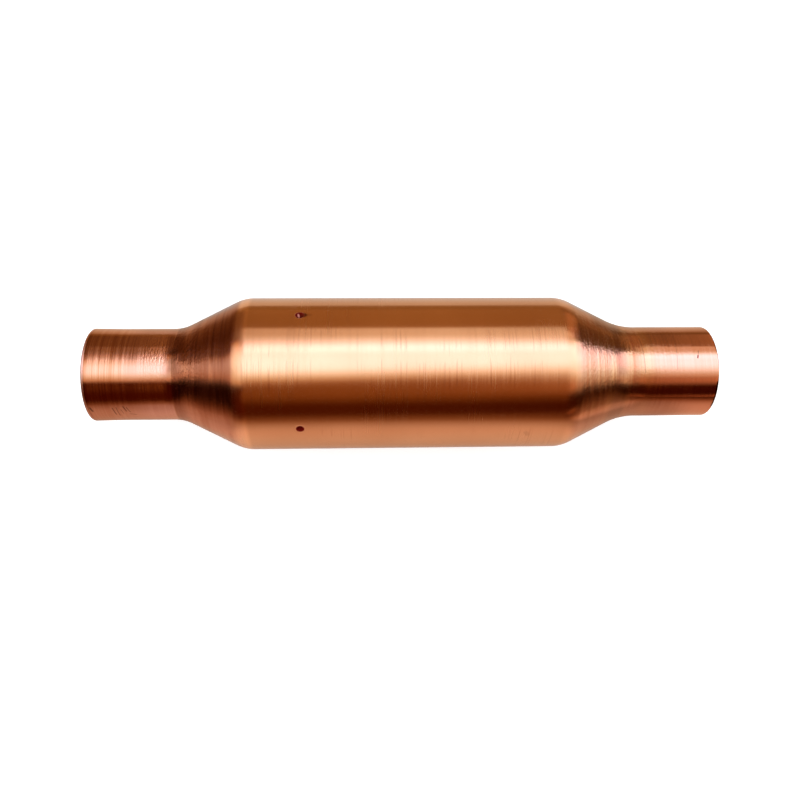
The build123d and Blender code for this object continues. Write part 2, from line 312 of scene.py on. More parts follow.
# table top: white paper, which ends some way behind the valve. The camera sees it evenly bright; the copper mirrors it
# with a painted pool of light round the valve that fades into the dim room in front of it, and with painted shade
# beside the stubs and the outlet
z = FLOOR_Z * MM
floor = new_object("floor", [(-1.5, -1.5, z), (1.5, -1.5, z), (1.5, 1.5, z), (-1.5, 1.5, z)], [(0, 1, 2, 3)])
fmat = bpy.data.materials.new("table_top")
fmat.use_nodes = True
f = Tree(fmat.node_tree)
geo = f.node("ShaderNodeNewGeometry")
fx, fy, fz = f.xyz(geo.outputs["Position"])
ways = f.node("ShaderNodeLightPath")
grain = f.noise(f.vec(fx, fy, 0.0), scale=900.0, detail=3.0)
paper = f.node("ShaderNodeBsdfDiffuse")
f.put(paper.inputs["Color"], f.mix(grain, rgba(0.83, 0.83, 0.83), rgba(0.86, 0.86, 0.86)))
glow = f.node("ShaderNodeEmission")
glow.inputs["Color"].default_value = rgba(0.5, 0.5, 0.5)
bright = f.node("ShaderNodeAddShader")
f.put(bright.inputs[0], paper.outputs[0])
f.put(bright.inputs[1], glow.outputs[0])
# painted pool of light on the table as the copper mirrors it: lightest near the valve, darkening away from it
ax, ay = f.math("ABSOLUTE", fx), f.math("ABSOLUTE", fy)
past_end = f.math("EXPONENT", f.math("DIVIDE", f.math("MAXIMUM", f.math("SUBTRACT", ax, 0.030), 0.0), -0.045))
past_end = f.math("MULTIPLY_ADD", past_end, -0.200, 0.200)
reach = f.math("SQRT", f.math("ADD", f.math("POWER", ay, 2.0), f.math("POWER", past_end, 2.0)))
sideways = f.step(f.math("MULTIPLY_ADD", ay, -0.28, ax), 0.030, 0.038)
tenth = f.math("MULTIPLY", reach, 2.5, clamp=True)          # 1 at 400 mm
near_side = f.ramp(tenth, [(0.0, (0.73, 0.71, 0.71)), (0.06, (0.71, 0.68, 0.65)), (0.10, (0.67, 0.58, 0.52)), (0.158, (0.56, 0.465, 0.41)), (0.20, (0.47, 0.37, 0.31)),
                           (0.268, (0.40, 0.29, 0.225)), (0.378, (0.26, 0.15, 0.085)), (0.50, (0.15, 0.068, 0.028)), (0.75, (0.08, 0.028, 0.008)),
                           (1.0, (0.06, 0.020, 0.005))])
near_mid = f.ramp(tenth, [(0.0, (0.73, 0.71, 0.71)), (0.06, (0.71, 0.68, 0.65)), (0.10, (0.67, 0.58, 0.52)), (0.158, (0.56, 0.465, 0.41)), (0.20, (0.47, 0.37, 0.31)),
                          (0.268, (0.40, 0.29, 0.225)), (0.378, (0.29, 0.175, 0.10)), (0.70, (0.21, 0.10, 0.045)), (1.0, (0.18, 0.08, 0.03))])
near_side = f.mix(sideways, near_mid, near_side)
# painted shadow on the mirrored table beside each stub
painted_stub_shadow = f.math("MULTIPLY", sideways, f.step(f.math("MULTIPLY_ADD", ay, -0.8, ax), 0.036, 0.016))
near_side = f.mix(f.math("MULTIPLY", painted_stub_shadow, 0.28), near_side, rgba(0.09, 0.020, 0.007))
# painted shade, then painted light, in bands on the mirrored table beside the outlet
beside_outlet = f.math("MULTIPLY_ADD", ay, -0.32, fx)
near_side = f.mix(f.math("MULTIPLY", f.step(beside_outlet, 0.036, 0.042), f.step(beside_outlet, 0.0505, 0.0425)), near_side, rgba(0.85, 0.83, 0.82), "MULTIPLY")
near_side = f.mix(f.math("MULTIPLY", f.step(beside_outlet, 0.0435, 0.0505), f.step(beside_outlet, 0.070, 0.059)), near_side, rgba(1.44, 1.44, 1.46), "MULTIPLY")
far_side = f.mix(f.step(fy, 0.098, 0.112), f.mix(f.step(fy, 0.038, 0.072), rgba(0.60, 0.665, 0.71), rgba(0.58, 0.585, 0.54)), rgba(0.26, 0.16, 0.055))
far_ends = f.ramp(tenth, [(0.0, (0.58, 0.585, 0.54)), (0.24, (0.58, 0.54, 0.48)), (0.343, (0.43, 0.36, 0.27)), (0.425, (0.30, 0.205, 0.12)),
                          (0.54, (0.215, 0.130, 0.050)), (1.0, (0.17, 0.092, 0.032))])
far_side = f.mix(sideways, far_side, far_ends)
mirrored = f.node("ShaderNodeBsdfDiffuse")
f.put(mirrored.inputs["Color"], f.mix(f.step(fy, -0.006, 0.006), near_side, far_side))
pick = f.node("ShaderNodeMixShader")
f.put(pick.inputs[0], ways.outputs["Is Glossy Ray"])
f.put(pick.inputs[1], bright.outputs[0])
f.put(pick.inputs[2], mirrored.outputs[0])
clear = f.node("ShaderNodeBsdfTransparent")
under = f.node("ShaderNodeMixShader")
f.put(under.inputs[0], f.math("MULTIPLY", geo.outputs["Backfacing"], ways.outputs["Is Camera Ray"]))
f.put(under.inputs[1], pick.outputs[0])
f.put(under.inputs[2], clear.outputs[0])
fout = f.node("ShaderNodeOutputMaterial")
f.put(fout.inputs["Surface"], under.outputs[0])
floor.data.materials.append(fmat)
floor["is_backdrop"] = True


# ------------------------------------------------------------------ the shell's section
def rounded(points, radii):
    """Straight runs and tangent arcs through the points: [(x0, x1, r(x))] pieces, in order."""
    out, start = [], points[0]
    for i in range(1, len(points) - 1):
        a, p, b = Vector(points[i - 1]), Vector(points[i]), Vector(points[i + 1])
        u, v = (a - p).normalized(), (b - p).normalized()
        r = radii[i - 1]
        if not r:
            out.append(("line", tuple(start), tuple(p)))
            start = p
            continue
        half = u.angle(v) / 2
        t = r / math.tan(half)
        c = p + (u + v).normalized() * (r / math.sin(half))
        s, e = p + u * t, p + v * t
        out.append(("line", tuple(start), tuple(s)))
        out.append(("arc", tuple(s), tuple(e), tuple(c), r))
        start = e
    out.append(("line", tuple(start), tuple(points[-1])))
    return out


def height(pieces, x):
    for p in pieces:
        (x0, y0), (x1, y1) = p[1], p[2]
        if min(x0, x1) - 1e-9 <= x <= max(x0, x1) + 1e-9 and abs(x1 - x0) > 1e-9:
            if p[0] == "line":
                return y0 + (y1 - y0) * (x - x0) / (x1 - x0)
            (cx, cy), r = p[3], p[4]
            dy = math.sqrt(max(r * r - (x - cx) ** 2, 0.0))
            return cy + dy if (y0 + y1) / 2 > cy else cy - dy
    raise ValueError(x)


outer = rounded(
    [(-HALF, FLARE_R), (-HALF + 5.0, NECK_R), (-NECK_X, NECK_R), (-SHOULDER_X, BODY_R),
     (SHOULDER_X, BODY_R), (NECK_X, NECK_R), (HALF, NECK_R)],
    [6.0, 7.0, 6.5, 6.5, 12.0],
)
inner = rounded(
    [(-SOCKET_END, THROAT_R), (-36.4, THROAT_R), (-25.5, BORE_R), (25.5, BORE_R), (36.4, THROAT_R), (SOCKET_END, THROAT_R)],
    [6.0, 5.0, 5.0, 6.0],
)

rng = random.Random(7)
waves = [(rng.uniform(0.34, 1.9), rng.uniform(0, math.tau), rng.uniform(0.4, 1.0)) for _ in range(14)]


def bump(x, lo, hi, soft):
    def s(t):
        t = min(max(t, 0.0), 1.0)
        return t * t * (3 - 2 * t)
    return s((x - lo) / soft) * s((hi - x) / soft)


def ridges(x, a):
    """Spinning marks, in millimetres: shallow rings on the drawn-in ends, never proud of the true form."""
    zone = bump(x, -37.2, -25.6, 1.2) * 1.0 + bump(x, 25.8, 40.5, 1.6) * 0.9
    if zone <= 0:
        return 0.0
    total = sum(k * math.sin(math.tau * x / p + q + 0.25 * math.sin(a + q)) for p, q, k in waves)
    return -zone * 0.0011 * (total + 6.0)


# rows along the outside, and the columns round it, close together at the stakes
def span(a, b, step):
    n = max(1, round(abs(b - a) / step))
    return [a + (b - a) * i / n for i in range(n)]


GRID = 0.225
patch = [STAKE_X + GRID * k for k in range(-4, 5)]
xs = (span(-HALF + 0.3, -37.6, 0.42) + span(-37.6, -24.0, 0.2) + span(-24.0, patch[0], 0.9) + patch[:-1]
      + span(patch[-1], 24.0, 1.1) + span(24.0, 41.0, 0.2) + span(41.0, HALF - 0.3, 0.42) + [HALF - 0.3])
first_patch_row = xs.index(patch[0])
angles, patch_col = [], []
for k, s in enumerate(STAKES):
    patch_col.append(len(angles))
    angles += [s + GRID * j / BODY_R for j in range(-4, 5)]
    a0, a1 = angles[-1], s + math.pi / 2 - 4 * GRID / BODY_R
    n = 48
    angles += [a0 + (a1 - a0) * i / n for i in range(1, n)]
COLS = len(angles)


def ring_point(x, r, a):
    return (x * MM, r * math.cos(a) * MM, r * math.sin(a) * MM)


verts, rows = [], []


def add_row(x, r, wavy=False):
    rows.append(len(verts))
    for a in angles:
        verts.append(ring_point(x, r + (ridges(x, a) if wavy else 0.0), a))


# inlet rim, outside round
F = 0.3
for i in range(0, 6):
    t = math.radians(90 * i / 6)
    rc = height(outer, -HALF + F) - F
    add_row(-HALF + F - F * math.cos(t), rc + F * math.sin(t))
outer_start = len(rows)
for x in xs:
    add_row(x, height(outer, x), wavy=True)
outer_end = len(rows)
for i in range(1, 7):
    t = math.radians(90 * i / 6)
    add_row(HALF - F + F * math.sin(t), NECK_R - F + F * math.cos(t))
# outlet rim and socket, inside
for x, r in [(HALF, SOCKET_R + 0.25), (HALF - 0.08, SOCKET_R + 0.17), (HALF - 0.25, SOCKET_R)]:
    add_row(x, r)
for x in [48.0, 46.0, 44.0, 42.0, SOCKET_END + 0.05, SOCKET_END]:
    add_row(x, SOCKET_R)
add_row(SOCKET_END, THROAT_R + 0.06)
inner_xs = (span(SOCKET_END - 0.06, 24.0, 0.55) + span(24.0, -24.0, 2.0) + span(-24.0, -SOCKET_END + 0.06, 0.55) + [-SOCKET_END + 0.06])
for x in inner_xs:
    add_row(x, height(inner, x))
add_row(-SOCKET_END, THROAT_R + 0.06)
for x in [-SOCKET_END, -SOCKET_END - 0.05, -42.0, -44.0, -46.0, -48.0]:
    add_row(x, SOCKET_R)
for x, r in [(-HALF + 0.25, SOCKET_R), (-HALF + 0.08, SOCKET_R + 0.17), (-HALF, SOCKET_R + 0.25)]:
    add_row(x, r)

# the wall is pushed in under each stake
for i, r0 in enumerate(rows):
    for j in range(COLS):
        x, y, zz = verts[r0 + j]
        rad = math.hypot(y, zz) / MM
        if i < outer_end or rad < BORE_R - 0.01:
            continue
        for s in STAKES:
            away = math.atan2(math.sin(angles[j] - s), math.cos(angles[j] - s)) * BORE_R
            rho = math.hypot(x / MM - STAKE_X, away)
            if rho < 0.9:
                push = 0.5 * (1 - rho / 0.9) ** 0.6
                k = (rad - min(push, 0.48)) / rad
                verts[r0 + j] = (x, y * k, zz * k)

faces = []
n_rows = len(rows)
hole = set()
for k in range(4):
    for i in range(8):
        for j in range(8):
            hole.add((outer_start + first_patch_row + i, patch_col[k] + j))
for i in range(n_rows):
    a, b = rows[i], rows[(i + 1) % n_rows]
    for j in range(COLS):
        if (i, j) in hole:
            continue
        jn = (j + 1) % COLS
        faces.append((a + j, b + j, b + jn, a + jn))

# each stake's punch mark: rings from the square of grid points down to the bottom of the pit
PIT_SIZE = (1.13, 0.96, 1.0, 1.04)
PIT = [(0.76, 0.0), (0.72, -0.006), (0.67, 0.0), (0.62, -0.012), (0.585, -0.04), (0.555, -0.085), (0.52, -0.15),
       (0.47, -0.26), (0.40, -0.40), (0.32, -0.54), (0.235, -0.65), (0.155, -0.72), (0.08, -0.75)]
for k, s in enumerate(STAKES):
    r0, c0 = outer_start + first_patch_row, patch_col[k]
    loop = [(r0, c0 + j) for j in range(0, 8)] + [(r0 + i, c0 + 8) for i in range(0, 8)]
    loop += [(r0 + 8, c0 + j) for j in range(8, 0, -1)] + [(r0 + i, c0) for i in range(8, 0, -1)]
    outline = [rows[i] + j for i, j in loop]
    at = []
    for i, j in loop:
        at.append((xs[i - outer_start] - STAKE_X, (angles[j] - s) * BODY_R))
    tilt = rng.uniform(-0.06, 0.06)
    last = outline
    for rho, depth in PIT:
        rho *= PIT_SIZE[k]
        now = []
        for (px, pa) in at:
            d = math.hypot(px, pa)
            ux, ua = px / d, pa / d
            mixer = min(max((rho - 0.76) / 0.14, 0.0), 1.0)
            reach = rho * (1 - mixer) + (rho / 0.9 * d) * mixer
            wob = 1.0 + 0.02 * math.sin(3 * math.atan2(ua, ux) + k) * (1 if depth < 0 else 0)
            x = STAKE_X + ux * reach * wob + tilt * depth
            a = s + (ua * reach * wob) / BODY_R
            now.append(len(verts))
            verts.append(ring_point(x, BODY_R + depth, a))
        m = len(now)
        for i in range(m):
            faces.append((last[i], last[(i + 1) % m], now[(i + 1) % m], now[i]))
        last = now
    tip = len(verts)
    verts.append(ring_point(STAKE_X + tilt * -0.75, BODY_R - 0.755, s))
    for i in range(len(last)):
        faces.append((last[i], last[(i + 1) % len(last)], tip))

shell = new_object("spun_shell", verts, faces, smooth_angle=38)
bm = bmesh.new()
bm.from_mesh(shell.data)
bmesh.ops.recalc_face_normals(bm, faces=bm.faces)
bm.to_mesh(shell.data)
bm.free()
shell.data.shade_smooth()
shell.data.set_sharp_from_angle(angle=math.radians(38))


# ------------------------------------------------------------------ copper
def copper():
    mat = bpy.data.materials.new("brushed_copper")
    mat.use_nodes = True
    t = Tree(mat.node_tree)
    pos = t.node("ShaderNodeTexCoord").outputs["Object"]
    px, py, pz = t.xyz(pos)
    x = t.math("MULTIPLY", px, 1000.0)                      # millimetres along the axis

    def rings(per_mm, wander, detail=2.0, rough=0.55, seed=0.0):
        """Noise that runs round the axis: fast along X, slow round the tube."""
        v = t.vec(t.math("MULTIPLY_ADD", px, per_mm * 1000.0, seed), t.math("MULTIPLY", py, wander * 1000.0), t.math("MULTIPLY", pz, wander * 1000.0))
        return t.noise(v, 1.0, detail, rough)

    fine = rings(3.4, 0.05, 2.0, 0.6, 3.1)
    medium = rings(2.2, 0.03, 2.0, 0.55, 11.7)
    coarse = rings(0.6, 0.05, 2.0, 0.5, 23.9)
    where = rings(0.11, 0.09, 1.0, 0.5, 41.3)               # where the brush bit deeper
    blotch = t.noise(pos, 160.0, 3.0, 0.6)
    speck = t.noise(t.vec(t.math("MULTIPLY", px, 3800.0), t.math("MULTIPLY", py, 1900.0), t.math("MULTIPLY", pz, 1900.0)), 1.0, 2.0, 0.6)
    dents = t.noise(t.vec(t.math("MULTIPLY", px, 2300.0), t.math("MULTIPLY", py, 1500.0), t.math("MULTIPLY", pz, 1500.0)), 1.0, 1.0, 0.5)

    # zones along the valve
    wave = t.math("MULTIPLY_ADD", blotch, 0.9, -0.45)
    xw = t.math("ADD", x, wave)
    left_cone = t.math("MULTIPLY", t.step(x, -36.75, -36.45), t.step(xw, -25.9, -26.9))
    left_stub = t.step(x, -36.45, -36.75)
    right_cone = t.math("MULTIPLY", t.step(xw, 26.3, 27.4), t.step(xw, 42.0, 36.0))
    right_stub = t.step(xw, 36.0, 42.0)
    stubs = t.math("MAXIMUM", left_stub, right_stub)
    cones = t.math("MAXIMUM", left_cone, right_cone)
    ends = t.math("MAXIMUM", stubs, cones)

    # colour: golden on the brushed body, pinker on the stubs, heat-darkened where the inlet end was spun
    gold = t.mix(t.step(t.noise(pos, 75.0, 2.0, 0.55), 0.30, 0.70), rgba(0.695, 0.284, 0.132), rgba(0.745, 0.314, 0.150))
    # fine brushed lines, in groups and in short arcs
    turn = t.math("ARCTAN2", pz, py)
    jag = t.math("MULTIPLY_ADD", rings(3.1, 0.010, 0.0, 0.5, 71.3), 0.34, t.math("SUBTRACT", turn, 0.17))
    high = t.math("MULTIPLY", t.step(jag, 1.28, 1.38), t.step(jag, 1.66, 1.58))
    low = t.math("MULTIPLY", t.step(jag, 1.74, 1.82), t.step(jag, 2.14, 2.02))
    beyond = t.step(t.math("ABSOLUTE", t.math("SUBTRACT", turn, 1.75)), 0.85, 1.05)
    arcs = t.math("MULTIPLY", beyond, t.step(t.noise(pos, 130.0, 1.0, 0.5), 0.50, 0.60))
    arcs = t.math("MAXIMUM", arcs, t.math("MAXIMUM", high, low))
    hatch = t.math("MULTIPLY", t.step(rings(2.7, 0.012, 1.0, 0.5, 57.9), 0.52, 0.66), t.step(where, 0.40, 0.56, 0.15, 1.0))
    hatch = t.math("MULTIPLY", hatch, arcs)
    gold = t.mix(hatch, gold, rgba(0.635, 0.252, 0.118))
    # painted highlight: the shoulders are painted lighter on both flanks, carrying their highlight further
    flank = t.math("DIVIDE", py, t.math("SQRT", t.math("ADD", t.math("POWER", py, 2.0), t.math("POWER", pz, 2.0))))
    painted_shoulder_highlight = t.math("MULTIPLY", t.math("MULTIPLY", t.step(x, 24.2, 25.6), t.step(x, 27.4, 26.2)), t.math("MULTIPLY_ADD", t.math("MULTIPLY", t.step(flank, 0.05, 0.13), t.step(flank, 0.27, 0.23)), 0.40, t.step(flank, 0.06, 0.22, 0.0, 0.55)))
    painted_shoulder_highlight = t.math("ADD", painted_shoulder_highlight, t.math("MULTIPLY", t.math("MULTIPLY", t.step(x, 24.6, 25.8), t.step(x, 28.4, 27.2)), t.step(flank, -0.75, -0.84, 0.0, 0.60)))
    gold = t.mix(t.math("MULTIPLY", painted_shoulder_highlight, 0.90), gold, rgba(0.90, 0.385, 0.190))
    painted_shoulder_highlight = t.math("MULTIPLY", t.math("MULTIPLY", t.step(x, -24.2, -25.1), t.step(x, -27.2, -26.6)), t.math("ADD", t.step(flank, 0.02, 0.14), t.step(flank, -0.48, -0.58)))
    gold = t.mix(painted_shoulder_highlight, gold, rgba(0.95, 0.410, 0.200))
    lines = t.step(t.math("ADD", t.math("MULTIPLY", fine, 0.6), t.math("MULTIPLY", medium, 0.4)), 0.40, 0.62)
    amber = t.mix(lines, rgba(0.64, 0.225, 0.105), rgba(0.745, 0.298, 0.160))
    pink = t.mix(lines, rgba(0.705, 0.278, 0.158), rgba(0.735, 0.300, 0.176))
    burnt = t.mix(t.step(coarse, 0.38, 0.62), rgba(0.44, 0.142, 0.075), rgba(0.60, 0.208, 0.108))
    burnt = t.mix(t.step(medium, 0.52, 0.70, 0.0, 0.5), burnt, rgba(0.40, 0.105, 0.050))
    mottle = t.math("MULTIPLY", t.step(speck, 0.52, 0.66), t.step(x, -30.5, -34.5))
    burnt = t.mix(t.math("MULTIPLY", mottle, 0.6), burnt, rgba(0.20, 0.06, 0.03))
    # painted reflection: the left cone's flank towards the camera is painted lighter, where it mirrors the table
    burnt = t.mix(t.step(flank, -0.68, -0.88, 0.0, 0.8), burnt, t.mix(t.step(t.math("ADD", coarse, t.math("MULTIPLY_ADD", blotch, 0.8, -0.4)), 0.38, 0.62), rgba(0.70, 0.245, 0.135), rgba(0.80, 0.315, 0.19)))
    # painted shade: the left cone's far flank is darker towards the neck
    burnt = t.mix(t.math("MULTIPLY", t.step(flank, 0.60, 0.80), t.step(x, -28.5, -31.0, 0.0, 0.45)), burnt, rgba(0.30, 0.090, 0.045))
    threads = t.math("MULTIPLY", t.step(rings(2.5, 0.020, 1.0, 0.5, 83.1), 0.53, 0.64), t.math("MULTIPLY", t.step(flank, -0.40, -0.05), t.step(x, -34.5, -31.5)))
    burnt = t.mix(t.math("MULTIPLY", threads, 0.50), burnt, rgba(0.24, 0.052, 0.030))
    # a dark ring of scale where the stub runs into the cone
    scale_ring = t.math("MULTIPLY", t.step(xw, -36.9, -36.3), t.step(xw, -33.6, -35.6))
    burnt = t.mix(t.math("MULTIPLY", scale_ring, 0.5), burnt, rgba(0.27, 0.075, 0.040))
    warm = t.mix(t.step(coarse, 0.35, 0.65), rgba(0.61, 0.258, 0.134), rgba(0.73, 0.338, 0.165))
    warm = t.mix(t.step(medium, 0.50, 0.64, 0.0, 0.45), warm, rgba(0.56, 0.170, 0.070))
    # painted shade: the outlet cone's far flank is darker
    warm = t.mix(t.step(flank, 0.55, 0.78, 0.0, 0.55), warm, rgba(0.46, 0.175, 0.090))
    shaded = t.math("MULTIPLY", t.math("MULTIPLY", t.step(x, 29.3, 31.3), t.step(x, 36.2, 34.8)), t.step(flank, 0.34, 0.50))
    warm = t.mix(t.math("MULTIPLY", shaded, 0.70), warm, rgba(0.25, 0.075, 0.030))
    # painted reflection: the outlet cone's flank towards the camera is lighter, where it mirrors the table
    warm = t.mix(t.step(flank, -0.72, -0.90, 0.0, 0.75), warm, rgba(0.64, 0.262, 0.153))
    colour = t.mix(t.math("MULTIPLY", left_stub, t.step(xw, -42.5, -45.5)), pink, amber)
    # painted shade: a darker band round the inlet stub next to its neck, weaker on the flank towards the camera
    inlet_neck_band_shade = t.math("MULTIPLY", t.math("MULTIPLY", t.step(xw, -38.6, -37.0), left_stub), t.step(flank, -0.78, -0.60, 0.25, 1.0))
    colour = t.mix(t.math("MULTIPLY", inlet_neck_band_shade, 0.55), colour, rgba(0.50, 0.165, 0.090))
    # painted shade on the inlet stub's far flank, towards its neck
    far_flank_stub_shade = t.math("MULTIPLY", t.step(flank, 0.52, 0.68), t.math("MULTIPLY", t.step(xw, -44.0, -41.0), left_stub))
    colour = t.mix(t.math("MULTIPLY", far_flank_stub_shade, 0.45), colour, rgba(0.44, 0.150, 0.085))
    # painted shade on the outlet stub's far flank
    outlet_far_flank_shade = t.math("MULTIPLY", t.step(flank, 0.18, 0.42), t.math("MULTIPLY", t.step(xw, 34.5, 37.0), t.step(xw, 46.5, 41.0)))
    # painted reflection: the inlet stub's flank towards the camera is lighter, where it mirrors the table
    inlet_near_flank_light = t.math("MULTIPLY", t.math("MULTIPLY", left_stub, t.step(flank, -0.72, -0.84)), t.step(x, -43.5, -40.0, 0.35, 0.95))
    colour = t.mix(inlet_near_flank_light, colour, t.mix(lines, rgba(0.80, 0.335, 0.225), rgba(0.84, 0.360, 0.245)))
    colour = t.mix(stubs, gold, colour)
    colour = t.mix(t.math("MULTIPLY", outlet_far_flank_shade, 0.40), colour, rgba(0.44, 0.155, 0.085))
    colour = t.mix(left_cone, colour, burnt)
    # painted shade across the middle of the inlet's neck, dimming its highlight
    inlet_neck_shade = t.math("MULTIPLY", t.math("MULTIPLY", t.step(xw, -37.4, -36.8), t.step(xw, -35.3, -36.1)), t.math("MULTIPLY", t.step(flank, -0.42, -0.22), t.step(flank, 0.26, 0.12)))
    colour = t.mix(t.math("MULTIPLY", inlet_neck_shade, 0.55), colour, rgba(0.13, 0.032, 0.008))
    colour = t.mix(right_cone, colour, warm)
    # painted shade: the outlet's neck is darkened in overlapping bands round it, dimming its highlight and reflections
    neck_top_shade = t.math("MULTIPLY", t.math("MULTIPLY", t.step(xw, 33.0, 34.0), t.step(xw, 37.9, 36.8)), t.math("MULTIPLY", t.step(flank, -0.56, -0.48), t.step(flank, 0.18, 0.08)))
    colour = t.mix(neck_top_shade, colour, rgba(0.87, 0.78, 0.74), "MULTIPLY")
    neck_near_shade = t.math("MULTIPLY", t.math("MULTIPLY", t.step(xw, 32.0, 33.2), t.step(xw, 35.9, 35.0)), t.step(flank, -0.52, -0.62))
    colour = t.mix(neck_near_shade, colour, rgba(0.80, 0.83, 0.86), "MULTIPLY")
    neck_mid_shade = t.math("MULTIPLY", t.math("MULTIPLY", t.step(xw, 33.0, 33.8), t.step(xw, 35.8, 34.8)), t.math("MULTIPLY", t.step(flank, -0.46, -0.36), t.step(flank, 0.16, 0.06)))
    colour = t.mix(neck_mid_shade, colour, rgba(0.86, 0.84, 0.86), "MULTIPLY")
    neck_far_shade = t.math("MULTIPLY", t.math("MULTIPLY", t.step(xw, 33.0, 33.8), t.step(xw, 37.4, 36.4)), t.math("MULTIPLY", t.step(flank, 0.26, 0.36), t.step(flank, 0.70, 0.60)))
    colour = t.mix(neck_far_shade, colour, rgba(0.82, 0.86, 0.98), "MULTIPLY")
    # painted shade: dims the highlight where the inlet stub meets its neck
    stub_end_highlight_dim = t.math("MULTIPLY", t.math("MULTIPLY", t.step(xw, -38.0, -37.4), t.step(xw, -35.6, -36.2)), t.math("MULTIPLY", t.step(flank, -0.16, -0.08), t.step(flank, 0.16, 0.08)))
    colour = t.mix(stub_end_highlight_dim, colour, rgba(0.82, 0.82, 0.80), "MULTIPLY")
    # painted reflection: both shoulders are lighter on the flank towards the camera, where they mirror the table
    shoulder_near_light = t.math("ADD", t.math("MULTIPLY", t.math("MULTIPLY", t.step(xw, 25.8, 26.8), t.step(xw, 29.0, 27.4)), t.step(flank, -0.68, -0.82)),
                        t.math("MULTIPLY", t.math("MULTIPLY", t.step(xw, -24.8, -25.8), t.step(xw, -27.6, -26.8)), t.step(flank, -0.46, -0.60)))
    colour = t.mix(t.math("MULTIPLY", shoulder_near_light, 0.60), colour, rgba(0.88, 0.385, 0.215))
    glint = t.math("MULTIPLY", t.math("MULTIPLY", t.step(x, 25.2, 26.0), t.step(x, 27.1, 26.7)), t.math("MULTIPLY", t.step(flank, 0.05, 0.13), t.step(flank, 0.27, 0.23)))
    colour = t.mix(t.math("MULTIPLY", glint, 0.80), colour, rgba(0.98, 0.43, 0.26))
    # a thin dark ring where the outlet cone meets the shoulder: partly a tool line, partly painted shade, its strength
    # set by the flank
    line_ = t.math("MULTIPLY", t.step(xw, 25.9, 26.5), t.step(xw, 27.6, 26.9))
    line_ = t.math("MULTIPLY", line_, t.math("MULTIPLY_ADD", t.step(flank, -0.22, -0.04), 0.25, t.math("MULTIPLY_ADD", t.step(flank, -0.38, -0.46), t.step(flank, -0.72, -0.60, 0.0, 0.25), 0.12)))
    colour = t.mix(t.math("MULTIPLY", line_, t.step(flank, 0.30, 0.15)), colour, rgba(0.36, 0.115, 0.058))

    # painted shade: the punch marks are painted dark maroon inside, and are dull
    c, s_ = math.cos(STAKES[0]), math.sin(STAKES[0])
    u = t.math("ABSOLUTE", t.math("ADD", t.math("MULTIPLY", py, c * 1000.0), t.math("MULTIPLY", pz, s_ * 1000.0)))
    v = t.math("ABSOLUTE", t.math("SUBTRACT", t.math("MULTIPLY", pz, c * 1000.0), t.math("MULTIPLY", py, s_ * 1000.0)))
    side = t.math("MINIMUM", u, v)
    off = t.math("SQRT", t.math("ADD", t.math("POWER", side, 2.0), t.math("POWER", t.math("SUBTRACT", x, STAKE_X), 2.0)))
    top_one = t.step(t.math("ADD", t.math("MULTIPLY", py, c * 1000.0), t.math("MULTIPLY", pz, s_ * 1000.0)), 9.0, 11.0)
    off = t.math("DIVIDE", off, t.math("MULTIPLY_ADD", top_one, PIT_SIZE[0] - 1.0, 1.0))
    pit = t.step(off, 0.73, 0.61)
    colour = t.mix(pit, colour, rgba(0.120, 0.003, 0.001))
    # painted highlight: a light spot in the upper punch mark, standing for the reflection in its bottom
    pit_highlight_x = t.math("POWER", t.math("SUBTRACT", x, STAKE_X - 0.20), 2.0)
    pit_highlight_a = t.math("MULTIPLY_ADD", pz, c * 1000.0, t.math("MULTIPLY_ADD", py, -s_ * 1000.0, 0.34))
    pit_highlight_paint = t.step(t.math("SQRT", t.math("ADD", t.math("POWER", pit_highlight_a, 2.0), pit_highlight_x)), 0.25, 0.08)
    pit_highlight_paint = t.math("MULTIPLY", pit_highlight_paint, top_one)
    colour = t.mix(pit_highlight_paint, colour, rgba(0.72, 0.28, 0.23))

    # handling marks, and a line of painted shade on the outlet rim

    def mark(x0, a0, x1, a1, width, radius):
        """A scratch from x0 at angle a0 to x1 at angle a1, in millimetres and degrees."""
        b0, b1 = math.radians(a0) * radius, math.radians(a1) * radius
        ux, ub = x1 - x0, b1 - b0
        size = ux * ux + ub * ub
        dx_ = t.math("SUBTRACT", x, x0)
        db_ = t.math("MULTIPLY_ADD", turn, radius, -b0)
        along_ = t.math("DIVIDE", t.math("ADD", t.math("MULTIPLY", dx_, ux), t.math("MULTIPLY", db_, ub)), size, clamp=True)
        ex = t.math("SUBTRACT", dx_, t.math("MULTIPLY", along_, ux))
        eb = t.math("SUBTRACT", db_, t.math("MULTIPLY", along_, ub))
        away = t.math("SQRT", t.math("ADD", t.math("MULTIPLY", ex, ex), t.math("MULTIPLY", eb, eb)))
        return t.step(away, width, width * 0.35)

